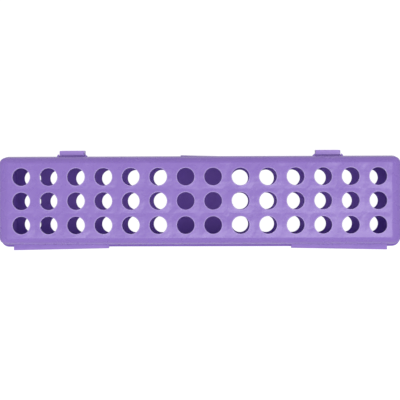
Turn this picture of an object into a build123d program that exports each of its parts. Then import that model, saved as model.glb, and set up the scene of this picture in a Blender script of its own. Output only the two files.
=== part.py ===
from build123d import *
import os
from math import pi, radians, tan

# A perforated clamshell rack and case for small test tubes, moulded in polypropylene.
# A deep base and a shallow lid carry the same grid of round holes, so a tube that drops
# through a lid hole ends in the base hole under it. The two middle columns have lid holes
# only, over a plain stretch of floor. The lid folds on two film hinges along one long side,
# and two snap latches hang from its rim on the other.
# Frame: the origin is the middle of the underside, X runs along the case, the hinges are
# at -Y, the latches at +Y and +Z is up. The model is the closed case, in millimetres.

# Overall sizes
case_length = 181.0
case_width = 40.5
base_height = 25.4
lid_height = 12.4
rim_gap = 0.2

# Walls
wall = 1.3
draft = 3.0
corner_radius = 3.7
lid_edge_radius = 2.9
base_edge_radius = 1.2

# Rims
base_rim_overhang = 1.0
lid_rim_height = 1.2
base_rim_height = 1.6
hinge_side_step = 0.4
lid_setback = 0.45

# Hole grid
hole_diameter = 7.8
least_web_along = 4.2
least_web_across = 2.5
field_margin_along = 3.55
field_margin_across = 2.0
panel_margin = 0.9
plain_band = 26.0

# Film hinges
hinge_length = 43.3
hinge_end_inset = 5.9
hinge_film = 0.4
hinge_fold_radius = 0.6
hinge_leaf = 0.8

# Latches
latch_end_inset = 32.4
latch_width = 11.1
latch_height = 8.2
latch_thickness = 1.5
latch_stand_off = 1.1
latch_bead_height = 1.4
latch_bead_rise = 0.6
latch_lip = 0.35
barb_reach = 1.4
barb_height = 1.6
root_depth = 0.15
root_wing_depth = 0.95
root_wing = 1.3
root_taper = 0.45
root_thickness = 0.7
latch_film = 0.2
latch_film_width = 0.2
catch_depth = 0.5
catch_height = 1.5
fit_clearance = 0.25

# Opening lip
opening_lip_length = 19.3
opening_lip_depth = 0.45
opening_lip_shift = 0.95

# Worked out
wall_length = case_length - 2 * base_rim_overhang
wall_width = case_width - 2 * base_rim_overhang
parting = base_height + rim_gap / 2
lid_bottom = base_height + rim_gap
side_of_case = case_width / 2
end_of_case = case_length / 2
lid_draft_run = lid_height * tan(radians(draft))
field_length = case_length - 2 * (lid_draft_run + lid_edge_radius)
field_width = case_width - 2 * (lid_draft_run + lid_edge_radius)
far = 2 * case_length

os.makedirs("parts", exist_ok=True)


def write(name, shape):
    export_step(shape, f"parts/{name}.step")


def box(x, y, z):
    """A box between two values on each axis."""
    middle = [(low + high) / 2 for low, high in (x, y, z)]
    return Pos(*middle) * Box(x[1] - x[0], y[1] - y[0], z[1] - z[0])


def hole_places(field, margin, least_web):
    """Centres of as many holes as a stretch of the field takes, evenly spaced about 0."""
    run = field - 2 * margin - hole_diameter
    gaps = max(1, int(run // (hole_diameter + least_web)))
    return [run * (n / gaps - 0.5) for n in range(gaps + 1)]


columns = hole_places(field_length, field_margin_along, least_web_along)
rows = hole_places(field_width, field_margin_across, least_web_across)
base_columns = [x for x in columns if abs(x) > plain_band / 2]
panel_x = columns[-1] + hole_diameter / 2 + panel_margin
panel_y = rows[-1] + hole_diameter / 2 + panel_margin


def drafted_block(length, width, radius, height):
    return extrude(RectangleRounded(length, width, radius), amount=height, taper=draft)


def top_edges(shape):
    return shape.faces().sort_by(Axis.Z)[-1].edges()


def tray(length, width, height, edge_radius):
    """A tray that stands mouth down on z = 0: (its outer block, the space inside it)."""
    outer = drafted_block(length, width, corner_radius, height)
    outer = fillet(top_edges(outer), edge_radius)
    inner_corner = corner_radius - wall
    inner = drafted_block(length - 2 * wall, width - 2 * wall, inner_corner, height - wall)
    inner = fillet(top_edges(inner), max(edge_radius - wall, wall / 4))
    return outer, inner


def tray_sections(hollow, panel_name, hole_columns):
    """The tray's perforated panel, its two long walls and its two ends, cut apart."""
    inside_panel = Box(2 * panel_x, 2 * panel_y, far)
    holes = [
        Pos(x, y, 0) * Cylinder(hole_diameter / 2, far) for x in hole_columns for y in rows
    ]
    walls = hollow - inside_panel
    middle = Box(2 * panel_x, far, far)
    return {
        panel_name: (hollow & inside_panel) - holes,
        "hinge_side": walls & middle & box((-far, far), (-far, 0), (-far, far)),
        "latch_side": walls & middle & box((-far, far), (0, far), (-far, far)),
        "end_left": walls & box((-far, -panel_x), (-far, far), (-far, far)),
        "end_right": walls & box((panel_x, far), (-far, far), (-far, far)),
    }


def rim_block(height, step):
    """A block as large as the case, wider by step on the hinge side."""
    plan = RectangleRounded(case_length, case_width + step, corner_radius)
    return extrude(Pos(0, -step / 2, 0) * plan, amount=height)


# Lid: a straight rim that stands on the base's, then the drafted walls and the panel. Its
# hinge side is set back, so that the base's rim shows along it.
lid_middle = Pos(0, lid_setback / 2, 0)
lid_outer, lid_inside = (
    lid_middle * block
    for block in tray(case_length, case_width - lid_setback, lid_height, lid_edge_radius)
)
below_walls = box((-far, far), (-far, far), (-far, lid_rim_height))
lid_hollow = lid_outer - lid_inside - below_walls
for section, shape in tray_sections(lid_hollow, "panel", columns).items():
    write(f"lid_{section}", Pos(0, 0, lid_bottom) * shape)
write("lid_rim", Pos(0, 0, lid_bottom) * (rim_block(lid_rim_height, -lid_setback) - lid_inside))

# Base: the sections of a deeper tray upside down, with a plain band in the middle of the
# floor, and a flange round its mouth
base_outer, base_inside = tray(wall_length, wall_width, base_height, base_edge_radius)
for section, shape in tray_sections(base_outer - base_inside, "floor", base_columns).items():
    write(f"base_{section}", Pos(0, 0, base_height) * mirror(shape, about=Plane.XY))
flange = rim_block(base_rim_height, hinge_side_step) - base_outer
write("base_rim", Pos(0, 0, base_height) * mirror(flange, about=Plane.XY))

# Film hinges: a leaf on each rim, and the film folded into a half round between them
hinge_centre = end_of_case - hinge_end_inset - hinge_length / 2
base_rim_face = -side_of_case - hinge_side_step
fold_start = base_rim_face - hinge_leaf
for side, x in (("left", -hinge_centre), ("right", hinge_centre)):
    span = (x - hinge_length / 2, x + hinge_length / 2)
    for body, face, level in (
        ("lid", -side_of_case + lid_setback, parting + hinge_fold_radius),
        ("base", base_rim_face, parting - hinge_fold_radius),
    ):
        thickness = (level - hinge_film / 2, level + hinge_film / 2)
        write(f"{body}_hinge_leaf_{side}", box(span, (fold_start, face), thickness))
    ring = Circle(hinge_fold_radius + hinge_film / 2) - Circle(hinge_fold_radius - hinge_film / 2)
    tube = Pos(span[0], fold_start, parting) * extrude(Plane.YZ * ring, amount=hinge_length)
    write(f"hinge_film_{side}", tube & box((-far, far), (-far, fold_start), (-far, far)))

# The lid turns about this line, so that the film lies flat when the lid is folded right back
hinge_axis_y = fold_start - pi * hinge_fold_radius / 2
print(f"hinge axis: y {hinge_axis_y:.3f}, z {parting:.3f}")

# Latches: a root on the lid's rim, a film that bends, and a tab with a barb under the catch
latch_axis_y = side_of_case + root_depth + latch_film_width / 2
latch_axis_z = lid_bottom + root_thickness - latch_film / 2
print(f"latch axis: y {latch_axis_y:.3f}, z {latch_axis_z:.3f}")
latch_centre = end_of_case - latch_end_inset
root_half = latch_width / 2 + root_wing
tab_face = side_of_case + latch_stand_off
tab_back = tab_face + latch_thickness
tab_bottom = latch_axis_z - latch_height + latch_bead_rise
bead_face = side_of_case + root_depth + latch_film_width
bead_bottom = latch_axis_z + latch_bead_rise - latch_bead_height
catch_bottom = base_height - catch_height - fit_clearance
barb_top = catch_bottom - fit_clearance
barb_bottom = barb_top - barb_height


def latch_root(x):
    """A flared plate that stands out beside the tab and is short behind it."""
    wings = Polygon(
        (-root_half, 0),
        (root_half, 0),
        (root_half - root_taper, root_wing_depth),
        (-root_half + root_taper, root_wing_depth),
        align=None,
    )
    notch_half = latch_width / 2 + fit_clearance
    notch = Pos(0, root_depth + root_wing_depth / 2) * Rectangle(2 * notch_half, root_wing_depth)
    plate = extrude(wings - notch, amount=root_thickness)
    return Pos(x, side_of_case, lid_bottom) * plate


def latch_tab(x):
    """The tab's outline seen from its end: a bead on top, a barb inside and a lip outside."""
    outline = Polygon(
        (bead_face, latch_axis_z + latch_bead_rise),
        (bead_face, bead_bottom),
        (tab_face, bead_bottom),
        (tab_face, barb_top),
        (tab_face - barb_reach, barb_top),
        (tab_face - barb_reach, barb_top - barb_height / 3),
        (tab_face, barb_bottom),
        (tab_face, tab_bottom),
        (tab_back + latch_lip, tab_bottom),
        (tab_back + latch_lip, tab_bottom + latch_thickness / 2),
        (tab_back, tab_bottom + 2 * latch_thickness),
        (tab_back, latch_axis_z + latch_bead_rise),
        align=None,
    )
    tab = extrude(Plane.YZ * outline, amount=latch_width / 2, both=True)
    upright = tab.edges().filter_by(Axis.X).group_by(Axis.Z)[-1]
    return Pos(x, 0, 0) * fillet(upright, latch_bead_height / 4)


for side, x in (("left", -latch_centre), ("right", latch_centre)):
    span = (x - latch_width / 2, x + latch_width / 2)
    write(f"latch_root_{side}", latch_root(x))
    film_across = (side_of_case + root_depth, bead_face)
    film_up = (lid_bottom + root_thickness - latch_film, lid_bottom + root_thickness)
    write(f"latch_film_{side}", box(span, film_across, film_up))
    write(f"latch_tab_{side}", latch_tab(x))
    catch_across = (side_of_case, side_of_case + catch_depth)
    catch_up = (catch_bottom, catch_bottom + catch_height)
    write(f"base_catch_{side}", box((x - root_half, x + root_half), catch_across, catch_up))

# Opening lip: a wedge on the base's rim, midway between the latches, for a fingertip
lip_plan = Polygon(
    (-opening_lip_length / 2, 0),
    (opening_lip_length / 2, 0),
    (-opening_lip_length / 2, opening_lip_depth),
    align=None,
)
lip = extrude(lip_plan, amount=base_rim_height)
lip_place = Pos(opening_lip_shift, side_of_case, base_height - base_rim_height)
write("base_opening_lip", lip_place * lip)
print(f"{len(columns)} columns, {len(rows)} rows, {len(base_columns)} columns in the base")
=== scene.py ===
from math import cos, pi, radians, sin, tan

import bmesh
import bpy
from mathutils import Matrix, Vector


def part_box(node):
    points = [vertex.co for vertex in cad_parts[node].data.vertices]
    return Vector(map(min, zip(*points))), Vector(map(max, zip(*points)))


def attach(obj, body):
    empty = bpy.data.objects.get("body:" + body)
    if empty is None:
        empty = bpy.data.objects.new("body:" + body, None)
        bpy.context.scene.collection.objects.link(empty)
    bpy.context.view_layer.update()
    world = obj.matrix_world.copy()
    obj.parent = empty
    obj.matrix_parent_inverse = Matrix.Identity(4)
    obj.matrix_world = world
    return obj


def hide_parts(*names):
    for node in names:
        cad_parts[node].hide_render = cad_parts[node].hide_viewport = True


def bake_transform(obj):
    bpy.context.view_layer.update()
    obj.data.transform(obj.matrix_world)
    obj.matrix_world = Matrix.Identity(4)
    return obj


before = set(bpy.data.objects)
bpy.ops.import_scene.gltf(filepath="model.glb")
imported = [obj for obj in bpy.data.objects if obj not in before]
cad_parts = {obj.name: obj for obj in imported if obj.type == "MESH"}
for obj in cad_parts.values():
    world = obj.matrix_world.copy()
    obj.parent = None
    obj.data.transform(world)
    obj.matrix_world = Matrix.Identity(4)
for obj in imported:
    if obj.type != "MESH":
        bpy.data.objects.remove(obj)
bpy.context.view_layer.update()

# Camera and light
# The case is looked at from straight above, a little right of its middle, with a long lens. The
# room is brightest overhead and towards the front. A soft box, higher than the camera and nearer
# the front, leaves a sheen on the lid, and the case stands on a table that glows white.
scene = bpy.context.scene
scene.view_settings.view_transform = "Standard"
lid_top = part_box("lid_panel")[1].z

camera_height = 0.600
eye = Vector((0.01128, -0.00105, lid_top + camera_height))
aim = Vector((0.00028, 0.00035, lid_top))
roll = radians(-0.17)
camera_data = bpy.data.cameras.new("camera")
camera_data.lens = 121.42
camera_data.sensor_width = 36
camera = bpy.data.objects.new("camera", camera_data)
forward = (aim - eye).normalized()
right = Vector((cos(roll), sin(roll), 0))
right = (right - forward * right.dot(forward)).normalized()
up = right.cross(forward)
turn = Matrix((right, up, -forward)).transposed()
camera.matrix_world = Matrix.Translation(eye) @ turn.to_4x4()
scene.collection.objects.link(camera)
scene.camera = camera

horizon_to_zenith = (-0.1, 0.8)
strength_by_height = (0.55, 1.0)
back_to_front = (0.8, -0.8)
strength_by_depth = (0.88, 1.08)
world = bpy.data.worlds.new("room")
world.use_nodes = True
room = world.node_tree
room_direction = room.nodes.new("ShaderNodeTexCoord")
room_axes = room.nodes.new("ShaderNodeSeparateXYZ")
room_height = room.nodes.new("ShaderNodeMapRange")
room_depth = room.nodes.new("ShaderNodeMapRange")
room_level = room.nodes.new("ShaderNodeMath")
room_level.operation = "MULTIPLY"
for mapped, span, strength in (
    (room_height, horizon_to_zenith, strength_by_height),
    (room_depth, back_to_front, strength_by_depth),
):
    mapped.inputs["From Min"].default_value = span[0]
    mapped.inputs["From Max"].default_value = span[1]
    mapped.inputs["To Min"].default_value = strength[0]
    mapped.inputs["To Max"].default_value = strength[1]
room.links.new(room_direction.outputs["Generated"], room_axes.inputs[0])
room.links.new(room_axes.outputs["Z"], room_height.inputs["Value"])
room.links.new(room_axes.outputs["Y"], room_depth.inputs["Value"])
room.links.new(room_height.outputs["Result"], room_level.inputs[0])
room.links.new(room_depth.outputs["Result"], room_level.inputs[1])
room.links.new(room_level.outputs[0], room.nodes["Background"].inputs["Strength"])
room.nodes["Background"].inputs["Color"].default_value = (1, 1, 1, 1)
scene.world = world

soft_box_data = bpy.data.lights.new("soft_box", "AREA")
soft_box_data.shape = "RECTANGLE"
soft_box_data.size = 0.9
soft_box_data.size_y = 0.15
soft_box_data.energy = 2.5
soft_box = bpy.data.objects.new("soft_box", soft_box_data)
soft_box.location = (0.06, -0.150, 0.85)
soft_box.rotation_euler = (-soft_box.location).to_track_quat("-Z", "Y").to_euler()
scene.collection.objects.link(soft_box)

table_half = 3.0
table_drop = 0.0002
table_corners = ((-1, -1), (1, -1), (1, 1), (-1, 1))
table_mesh = bpy.data.meshes.new("table")
table_mesh.from_pydata(
    [(x * table_half, y * table_half, -table_drop) for x, y in table_corners],
    [],
    [(0, 1, 2, 3)],
)
table = bpy.data.objects.new("table", table_mesh)
scene.collection.objects.link(table)
table_white = bpy.data.materials.new("table_white")
table_white.use_nodes = True
table_shader = table_white.node_tree.nodes["Principled BSDF"]
table_shader.inputs["Base Color"].default_value = (0.05, 0.05, 0.05, 1)
table_shader.inputs["Roughness"].default_value = 0.7
table_shader.inputs["Emission Color"].default_value = (1, 1, 1, 1)
table_shader.inputs["Emission Strength"].default_value = 1.0
table_mesh.materials.append(table_white)
table.visible_glossy = False

# Base
# The deep half of the case, one thin-walled moulding in violet polypropylene. Its walls are
# drafted so that it leaves the mould, its mouth is stiffened by a flat rim, and its floor is
# perforated everywhere but in a plain band across the middle.
wall = 0.0013
draft = tan(radians(3))
corner_radius = 0.0037
smallest_radius = 0.0001
edge_round = 0.00022
arc_steps = 6
corner_steps = 14

base_rim_low, base_rim_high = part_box("base_rim")
base_walls = (
    Vector((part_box("base_end_left")[0].x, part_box("base_hinge_side")[0].y)),
    Vector((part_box("base_end_right")[1].x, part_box("base_latch_side")[1].y)),
)
base_height = base_rim_high.z
base_edge = 0.0012
quarter_turn = 90

hole_radius = 0.0039
hole_columns = 14
hole_rows = 3
plain_band = 0.026
panel_margin = 0.0009
grid_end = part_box("lid_panel")[1] - Vector((hole_radius + panel_margin,) * 3)

violet = (0.215, 0.122, 0.455)
pale_violet = (0.245, 0.146, 0.490)
# The inner faces' brighter, more saturated violet is painted bounce light from inside the closed
# box.
inside_bounce_violet = (0.27, 0.15, 0.57)
pale_inside_bounce_violet = (0.29, 0.17, 0.59)
# The pale colour round each hole's edge is a painted highlight, where a rounded edge catches light.
hole_edge_highlight_colour = (0.50, 0.40, 0.72)
hole_edge_highlight_share = 0.55
hole_edge_highlight_reach = 0.00055
lip_reach = 0.0030
lip_rise = 0.00013

# A mix node has a socket for each kind of value, and these are the places of its colour ones.
first_colour = 6
second_colour = 7
mixed_colour = 2


def ring(low, high, radius, z):
    """Points of a rounded rectangle between two corners."""
    radius = max(radius, smallest_radius)
    points = []
    for quarter, (x, y) in enumerate(
        ((high[0], high[1]), (low[0], high[1]), (low[0], low[1]), (high[0], low[1]))
    ):
        centre_x = x - radius if x > 0 else x + radius
        centre_y = y - radius if y > 0 else y + radius
        for n in range(corner_steps + 1):
            angle = pi / 2 * (quarter + n / corner_steps)
            points.append((centre_x + radius * cos(angle), centre_y + radius * sin(angle), z))
    return points


def loft(bm, rings):
    """Joins rings of points into a closed surface, flat over the first and the last."""
    rows = [[bm.verts.new(point) for point in points] for points in rings]
    count = len(rows[0])
    for lower, upper in zip(rows, rows[1:]):
        for n in range(count):
            m = (n + 1) % count
            bm.faces.new((lower[n], lower[m], upper[m], upper[n]))
    bm.faces.new(reversed(rows[0]))
    bm.faces.new(rows[-1])


def written(bm, name):
    """The mesh that a bmesh holds."""
    mesh = bpy.data.meshes.new(name)
    bm.to_mesh(mesh)
    bm.free()
    return mesh


def skin(name, rings, level):
    """An object closed over rings of points.

    level gives a ring's height in the case from its height above the tray's mouth.
    """
    bm = bmesh.new()
    loft(bm, [[(x, y, level(z)) for x, y, z in points] for points in rings])
    bmesh.ops.remove_doubles(bm, verts=bm.verts, dist=1e-7)
    bmesh.ops.recalc_face_normals(bm, faces=bm.faces)
    shape = bpy.data.objects.new(name, written(bm, name))
    scene.collection.objects.link(shape)
    return shape


def rolled(start, turn, radius, centre_inset, centre_z):
    """(inset, z) along an arc: start and turn are in degrees, 0 outwards and 90 up."""
    places = []
    for n in range(arc_steps + 1):
        angle = radians(start + turn * n / arc_steps)
        places.append((centre_inset - radius * cos(angle), centre_z + radius * sin(angle)))
    return places


def tray_rings(walls, rim, border, height, edge_turn, rim_height):
    """Rings of a tray that stands mouth down, from its inner roof to its outer top.

    walls and rim are the (low, high) corners of the foot of its walls and of its rim. The
    outer edge rolls over by edge_turn degrees across a border, given along and across, and
    meets the top in a crease if that isn't a quarter turn.
    """

    def inset_ring(bounds, inset, z, along=0.0, across=0.0):
        low = (bounds[0].x + inset + along, bounds[0].y + inset + across)
        high = (bounds[1].x - inset - along, bounds[1].y - inset - across)
        return ring(low, high, corner_radius - inset - min(along, across), z)

    inner_height = height - wall
    inner_edge = max(min(border) - wall, wall / 4)
    inner_top = wall + draft * inner_height
    rings = []
    for inset, z in rolled(90, -90, inner_edge, inner_top + inner_edge, inner_height - inner_edge):
        rings.append(inset_ring(walls, inset, z))
    rings.append(inset_ring(walls, wall + draft * edge_round, edge_round))
    rings.append(inset_ring(walls, wall - edge_round, 0))
    for inset, z in rolled(-90, 90, edge_round, edge_round, edge_round):
        rings.append(inset_ring(rim, inset, z))
    if rim[1].x > walls[1].x:
        for inset, z in rolled(0, 90, edge_round, edge_round, rim_height - edge_round):
            rings.append(inset_ring(rim, inset, z))
        # A small hollow curve leads from the rim into the wall.
        foot = 2 * edge_round
        foot_shares = (0, 0.4, 1)
        for share in foot_shares:
            inset = draft * (rim_height + foot) - foot * (1 - share) ** 2
            rings.append(inset_ring(walls, inset, rim_height + foot * share))
    else:
        rings.append(inset_ring(walls, 0, rim_height - edge_round))
        rings.append(inset_ring(walls, draft * (rim_height + edge_round), rim_height + edge_round))
    drop = min(border) * sin(radians(edge_turn)) / (1 - cos(radians(edge_turn)))
    for n in range(2 * arc_steps + 1):
        angle = radians(edge_turn * n / (2 * arc_steps))
        share = (1 - cos(angle)) / (1 - cos(radians(edge_turn)))
        z = height - drop * (1 - sin(angle) / sin(radians(edge_turn)))
        rings.append(inset_ring(walls, draft * height, z, border[0] * share, border[1] * share))
    return rings


def cutter(name, low, high):
    """A round cutter, flared at both faces of a panel so that the hole's edges are rounded."""
    flare = edge_round
    profile = [(hole_radius + flare, low - flare)]
    for n in range(arc_steps):
        angle = pi / 2 * n / (arc_steps - 1)
        profile.append((hole_radius + flare * (1 - sin(angle)), low + flare * (1 - cos(angle))))
    profile += [(r, low + high - z) for r, z in reversed(profile)]
    around = 48
    angles = [2 * pi * n / around for n in range(around)]
    bm = bmesh.new()
    loft(bm, [[(r * cos(a), r * sin(a), z) for a in angles] for r, z in profile])
    return bpy.data.objects.new(name, written(bm, name))


def perforation_tree():
    """Geometry nodes that cut a grid of holes out of a shell, sparing a plain band."""
    tree = bpy.data.node_groups.new("perforate", "GeometryNodeTree")
    sockets = tree.interface
    sockets.new_socket("Geometry", in_out="INPUT", socket_type="NodeSocketGeometry")
    for label, kind in (
        ("Columns", "Int"),
        ("Rows", "Int"),
        ("Length", "Float"),
        ("Width", "Float"),
        ("Plain Band", "Float"),
        ("Cutter", "Object"),
        ("Material", "Material"),
    ):
        sockets.new_socket(label, in_out="INPUT", socket_type=f"NodeSocket{kind}")
    sockets.new_socket("Geometry", in_out="OUTPUT", socket_type="NodeSocketGeometry")
    new = tree.nodes.new
    link = tree.links.new
    given = new("NodeGroupInput")
    result = new("NodeGroupOutput")

    grid = new("GeometryNodeMeshGrid")
    link(given.outputs["Length"], grid.inputs["Size X"])
    link(given.outputs["Width"], grid.inputs["Size Y"])
    link(given.outputs["Columns"], grid.inputs["Vertices X"])
    link(given.outputs["Rows"], grid.inputs["Vertices Y"])

    place = new("GeometryNodeInputPosition")
    axes = new("ShaderNodeSeparateXYZ")
    from_middle = new("ShaderNodeMath")
    from_middle.operation = "ABSOLUTE"
    half_band = new("ShaderNodeMath")
    half_band.operation = "MULTIPLY"
    half_band.inputs[1].default_value = 0.5
    in_band = new("FunctionNodeCompare")
    in_band.operation = "LESS_THAN"
    spare = new("GeometryNodeDeleteGeometry")
    link(place.outputs[0], axes.inputs[0])
    link(axes.outputs["X"], from_middle.inputs[0])
    link(given.outputs["Plain Band"], half_band.inputs[0])
    link(from_middle.outputs[0], in_band.inputs[0])
    link(half_band.outputs[0], in_band.inputs[1])
    link(grid.outputs["Mesh"], spare.inputs["Geometry"])
    link(in_band.outputs[0], spare.inputs["Selection"])

    tool = new("GeometryNodeObjectInfo")
    spread = new("GeometryNodeInstanceOnPoints")
    real = new("GeometryNodeRealizeInstances")
    cut = new("GeometryNodeMeshBoolean")
    cut.operation = "DIFFERENCE"
    cut.solver = "MANIFOLD"
    link(given.outputs["Cutter"], tool.inputs["Object"])
    link(spare.outputs["Geometry"], spread.inputs["Points"])
    link(tool.outputs["Geometry"], spread.inputs["Instance"])
    link(spread.outputs["Instances"], real.inputs["Geometry"])
    link(given.outputs["Geometry"], cut.inputs["Mesh 1"])
    link(real.outputs["Geometry"], cut.inputs["Mesh 2"])

    whole = new("GeometryNodeRealizeInstances")
    finish = new("GeometryNodeSetMaterial")
    link(cut.outputs["Mesh"], whole.inputs["Geometry"])
    link(whole.outputs["Geometry"], finish.inputs["Geometry"])
    link(given.outputs["Material"], finish.inputs["Material"])
    link(finish.outputs["Geometry"], result.inputs["Geometry"])
    return tree


def plain_mesh(shape):
    """Turns an object's modifiers into a plain mesh and removes them."""
    bpy.context.view_layer.update()
    graph = bpy.context.evaluated_depsgraph_get()
    mesh = bpy.data.meshes.new_from_object(shape.evaluated_get(graph))
    mesh.name = shape.name
    shape.modifiers.clear()
    shape.data = mesh
    return shape


def smooth(shape):
    """Smooth shading that breaks at sharp edges, led by the large faces."""
    shape.data.shade_smooth()
    shape.data.set_sharp_from_angle(angle=radians(32))
    weigh = shape.modifiers.new("weigh", "WEIGHTED_NORMAL")
    weigh.keep_sharp = True
    weigh.weight = 80
    return plain_mesh(shape)


def perforated(shell, tree, material, band, low, high):
    """The shell with its grid of holes, as a plain mesh in one material."""
    tool = cutter(shell.name + "_cutter", low, high)
    modifier = shell.modifiers.new("perforate", "NODES")
    modifier.node_group = tree
    values = {
        "Columns": hole_columns,
        "Rows": hole_rows,
        "Length": 2 * grid_end.x,
        "Width": 2 * grid_end.y,
        "Plain Band": band,
        "Cutter": tool,
        "Material": material,
    }
    for item in tree.interface.items_tree:
        if item.in_out == "INPUT" and item.name in values:
            modifier[item.identifier] = values[item.name]
    plain_mesh(shell)
    shell.data.materials.clear()
    shell.data.materials.append(material)
    shell.data.polygons.foreach_set("material_index", [0] * len(shell.data.polygons))
    bpy.data.objects.remove(tool)
    return smooth(shell)


def moulded_plastic(name, colour, pale, rough, shine=0.3):
    """Satin polypropylene: faint flow marks in the colour, a fine grain and a soft ripple."""
    material = bpy.data.materials.new(name)
    material.use_nodes = True
    tree = material.node_tree
    new = tree.nodes.new
    link = tree.links.new
    shader = tree.nodes["Principled BSDF"]
    shader.inputs["IOR"].default_value = 1.49
    shader.inputs["Specular IOR Level"].default_value = shine
    shader.inputs["Subsurface Weight"].default_value = 0.08
    shader.inputs["Subsurface Radius"].default_value = (0.0012, 0.0008, 0.0020)
    where = new("ShaderNodeTexCoord")

    flow = new("ShaderNodeTexNoise")
    flow.inputs["Scale"].default_value = 95
    flow.inputs["Detail"].default_value = 3
    shades = new("ShaderNodeMix")
    shades.data_type = "RGBA"
    shades.inputs[first_colour].default_value = (*colour, 1)
    shades.inputs[second_colour].default_value = (*pale, 1)
    link(where.outputs["Object"], flow.inputs["Vector"])
    link(flow.outputs["Fac"], shades.inputs[0])
    link(shades.outputs[mixed_colour], shader.inputs["Base Color"])

    haze = new("ShaderNodeTexNoise")
    haze.inputs["Scale"].default_value = 240
    gloss = new("ShaderNodeMapRange")
    gloss.inputs["To Min"].default_value = rough - 0.06
    gloss.inputs["To Max"].default_value = rough + 0.08
    link(where.outputs["Object"], haze.inputs["Vector"])
    link(haze.outputs["Fac"], gloss.inputs["Value"])
    link(gloss.outputs["Result"], shader.inputs["Roughness"])

    grain = new("ShaderNodeTexNoise")
    grain.inputs["Scale"].default_value = 2600
    fine = new("ShaderNodeBump")
    fine.inputs["Strength"].default_value = 0.12
    fine.inputs["Distance"].default_value = 0.00002
    ripple = new("ShaderNodeBump")
    ripple.inputs["Distance"].default_value = 0.0006
    link(where.outputs["Object"], grain.inputs["Vector"])
    link(grain.outputs["Fac"], fine.inputs["Height"])
    link(flow.outputs["Fac"], ripple.inputs["Height"])
    link(fine.outputs["Normal"], ripple.inputs["Normal"])
    link(ripple.outputs["Normal"], shader.inputs["Normal"])
    return material


def hole_distance(tree):
    """Nodes that give how far a point is from the middle of the nearest hole of the grid."""
    new = tree.nodes.new
    link = tree.links.new
    pitch = Vector((2 * grid_end.x / (hole_columns - 1), 2 * grid_end.y / (hole_rows - 1), 1))
    where = new("ShaderNodeTexCoord")

    def step(operation, source, value):
        node = new("ShaderNodeVectorMath")
        node.operation = operation
        link(source, node.inputs[0])
        node.inputs[1].default_value = value
        return node.outputs["Vector"]

    moved = step("ADD", where.outputs["Object"], (0, pitch.y / 2, 0))
    snapped = step("SNAP", moved, pitch)
    middle = step("ADD", snapped, (pitch.x / 2, 0, 0))
    highest = step("MINIMUM", middle, (grid_end.x, grid_end.y, 0))
    centre = step("MAXIMUM", highest, (-grid_end.x, -grid_end.y, 0))
    flat = step("MULTIPLY", where.outputs["Object"], (1, 1, 0))
    level = step("MULTIPLY", centre, (1, 1, 0))
    distance = new("ShaderNodeVectorMath")
    distance.operation = "DISTANCE"
    link(flat, distance.inputs[0])
    link(level, distance.inputs[1])
    return distance.outputs["Value"]


def add_hole_lips(material):
    """Round each hole: a pale rim painted along its edge as a highlight, and a faint raised lip."""
    tree = material.node_tree
    new = tree.nodes.new
    link = tree.links.new
    shader = tree.nodes["Principled BSDF"]
    distance = hole_distance(tree)

    # Painted highlight: the colour turns paler close to each hole's edge.
    rim = new("ShaderNodeMapRange")
    rim.interpolation_type = "SMOOTHSTEP"
    rim.inputs["From Min"].default_value = hole_radius + hole_edge_highlight_reach
    rim.inputs["From Max"].default_value = hole_radius
    rim.inputs["To Max"].default_value = hole_edge_highlight_share
    hole_edge_highlight = new("ShaderNodeMix")
    hole_edge_highlight.data_type = "RGBA"
    hole_edge_highlight.inputs[second_colour].default_value = (*hole_edge_highlight_colour, 1)
    link(distance, rim.inputs["Value"])
    link(shader.inputs["Base Color"].links[0].from_socket, hole_edge_highlight.inputs[first_colour])
    link(rim.outputs["Result"], hole_edge_highlight.inputs[0])
    link(hole_edge_highlight.outputs[mixed_colour], shader.inputs["Base Color"])

    lip = new("ShaderNodeMapRange")
    lip.inputs["From Min"].default_value = hole_radius + lip_reach
    lip.inputs["From Max"].default_value = hole_radius
    raised = new("ShaderNodeBump")
    raised.inputs["Distance"].default_value = lip_rise
    link(distance, lip.inputs["Value"])
    link(lip.outputs["Result"], raised.inputs["Height"])
    link(shader.inputs["Normal"].links[0].from_socket, raised.inputs["Normal"])
    link(raised.outputs["Normal"], shader.inputs["Normal"])


base_plastic = moulded_plastic("base_plastic", violet, pale_violet, rough=0.58, shine=0.2)
add_hole_lips(base_plastic)
perforate = perforation_tree()

base_shell = skin(
    "base_shell",
    tray_rings(
        base_walls,
        (base_rim_low, base_rim_high),
        (base_edge, base_edge),
        base_height,
        quarter_turn,
        base_rim_high.z - base_rim_low.z,
    ),
    lambda z: base_height - z,
)
perforated(base_shell, perforate, base_plastic, plain_band, 0.0, wall)

# The base's inner faces are nearly without shine, so that no sheen shows through the holes.
# A face counts as an inner one if it lies past most of the wall's thickness.
inner_share = 0.8
# Their colour is a painted copy of the violet, standing in for light bounced round inside the box.
matte_bounce_plastic = moulded_plastic(
    "inside_plastic", inside_bounce_violet, pale_inside_bounce_violet, rough=0.75, shine=0.02
)
base_shell.data.materials.append(matte_bounce_plastic)
for face in base_shell.data.polygons:
    x, y, z = face.center
    inset = inner_share * wall + draft * (base_height - z)
    above_floor = z > inner_share * wall
    between_ends = base_walls[0].x + inset < x < base_walls[1].x - inset
    between_sides = base_walls[0].y + inset < y < base_walls[1].y - inset
    if above_floor and between_ends and between_sides:
        face.material_index = 1
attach(base_shell, "base")
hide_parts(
    "base_floor", "base_hinge_side", "base_latch_side",
    "base_end_left", "base_end_right", "base_rim",
)

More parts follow.
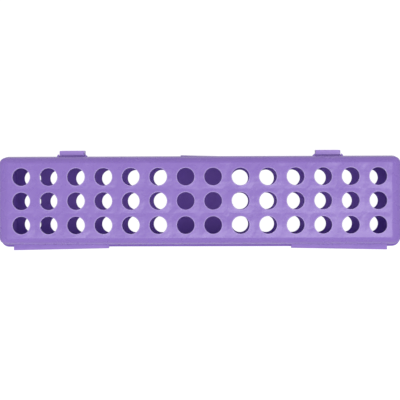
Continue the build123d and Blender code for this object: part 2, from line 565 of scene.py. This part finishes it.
# Lid
# The shallow half, moulded with the base in the same polypropylene. Its top is a flat
# perforated field with a softly rolled border, and it closes rim to rim on the base.
lid_plastic = moulded_plastic("lid_plastic", violet, pale_violet, rough=0.27, shine=0.55)
add_hole_lips(lid_plastic)
lid_border = (0.0046, 0.0028)
lid_edge_turn = 68
lid_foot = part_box("lid_rim")
lid_bottom = lid_foot[0].z
lid_shell = skin(
    "lid_shell",
    tray_rings(
        lid_foot,
        lid_foot,
        lid_border,
        lid_top - lid_bottom,
        lid_edge_turn,
        lid_foot[1].z - lid_bottom,
    ),
    lambda z: lid_bottom + z,
)
perforated(lid_shell, perforate, lid_plastic, 0.0, lid_top - wall, lid_top)
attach(lid_shell, "lid")
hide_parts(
    "lid_panel", "lid_hinge_side", "lid_latch_side",
    "lid_end_left", "lid_end_right", "lid_rim",
)

# Film hinges
# Two thin strips of the same plastic, moulded between the rims. Each is a leaf on the lid's
# rim and one on the base's, joined by a film that is folded in half, as when the case is shut.
film_steps = 12
strip_steps = 24
# The strips' paler violet is painted light: it brightens them where the lid's wall shades them.
lit_film_violet = (0.33, 0.21, 0.58)
hinge_plastic = moulded_plastic("hinge_plastic", pale_violet, lit_film_violet, rough=0.36)
hinge_taper = 0.0008


def hinge_strip(side):
    """One folded strip, a little less deep towards the middle of the case."""
    film_low, film_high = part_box(f"hinge_film_{side}")
    lid_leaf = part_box(f"lid_hinge_leaf_{side}")
    base_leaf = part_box(f"base_hinge_leaf_{side}")
    outer = (film_high.z - film_low.z) / 2
    thickness = lid_leaf[1].z - lid_leaf[0].z
    middle = (film_high.z + film_low.z) / 2
    fold = film_high.y
    inner = outer - thickness
    angles = [pi / 2 + pi * n / film_steps for n in range(film_steps + 1)]

    # The last number of a point says whether the taper moves it, as it does on the film alone.
    outline = [(lid_leaf[1].y, middle + outer, 0)]
    outline += [(fold + outer * cos(a), middle + outer * sin(a), 1) for a in angles]
    outline += [(base_leaf[1].y, middle - outer, 0), (base_leaf[1].y, middle - inner, 0)]
    outline += [(fold + inner * cos(a), middle + inner * sin(a), 1) for a in reversed(angles)]
    outline += [(lid_leaf[1].y, middle + inner, 0)]

    rings = []
    for n in range(strip_steps + 1):
        x = film_low.x + (film_high.x - film_low.x) * n / strip_steps
        nearness = 1 - n / strip_steps if film_high.x > 0 else n / strip_steps
        shift = hinge_taper * nearness
        rings.append([(x, y + shift * moves, z) for y, z, moves in outline])
    bm = bmesh.new()
    loft(bm, rings)
    bmesh.ops.recalc_face_normals(bm, faces=bm.faces)
    mesh = written(bm, f"hinge_strip_{side}")
    mesh.materials.append(hinge_plastic)
    strip = bpy.data.objects.new(f"hinge_strip_{side}", mesh)
    scene.collection.objects.link(strip)
    smooth(strip)
    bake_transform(strip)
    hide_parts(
        f"hinge_film_{side}", f"lid_hinge_leaf_{side}", f"base_hinge_leaf_{side}"
    )


for side in ("left", "right"):
    hinge_strip(side)

# Latches
# Each snap latch is moulded in one with the lid: a flared root on the lid's rim, a thin film,
# and a tab that hangs over the base's rim. A barb inside the tab catches under a small ledge
# on the base.
# The latches' paler violet is painted light: it brightens the tabs where the lid's wall shades
# them.
lit_latch_violet = (0.34, 0.21, 0.62)
pale_lit_latch_violet = (0.38, 0.25, 0.65)
latch_plastic = moulded_plastic(
    "latch_plastic", lit_latch_violet, pale_lit_latch_violet, rough=0.30, shine=0.5
)
film_round = 0.00004
small_round = 0.00005
tab_round = 0.00028


def softened(name, node, width, material, body):
    """A copy of a node with rounded edges, which stands for it and rides a body if one is given."""
    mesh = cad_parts[node].data.copy()
    mesh.name = name
    bm = bmesh.new()
    bm.from_mesh(mesh)
    bmesh.ops.remove_doubles(bm, verts=bm.verts, dist=1e-6)
    bmesh.ops.dissolve_limit(bm, angle_limit=radians(1), verts=bm.verts, edges=bm.edges)
    bm.to_mesh(mesh)
    bm.free()
    if mesh.has_custom_normals:
        mesh.attributes.remove(mesh.attributes["custom_normal"])
    mesh.materials.clear()
    mesh.materials.append(material)
    shape = bpy.data.objects.new(name, mesh)
    scene.collection.objects.link(shape)
    bevel = shape.modifiers.new("edges", "BEVEL")
    bevel.width = width
    bevel.segments = 3
    bevel.limit_method = "ANGLE"
    bevel.angle_limit = radians(25)
    plain_mesh(shape)
    smooth(shape)
    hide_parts(node)
    if body:
        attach(shape, body)
    return shape


for side in ("left", "right"):
    softened(f"tab_{side}", f"latch_tab_{side}", tab_round, latch_plastic, f"latch_{side}")
    softened(f"root_{side}", f"latch_root_{side}", small_round, latch_plastic, "lid")
    film = softened(f"film_{side}", f"latch_film_{side}", film_round, latch_plastic, None)
    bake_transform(film)
    softened(f"catch_{side}", f"base_catch_{side}", small_round, base_plastic, "base")

# Opening lip
# A slim wedge on the base's rim, between the latches, that a fingertip finds to part the
# halves. It is moulded with the rim, in the same plastic.
softened("opening_lip", "base_opening_lip", film_round, base_plastic, "base")
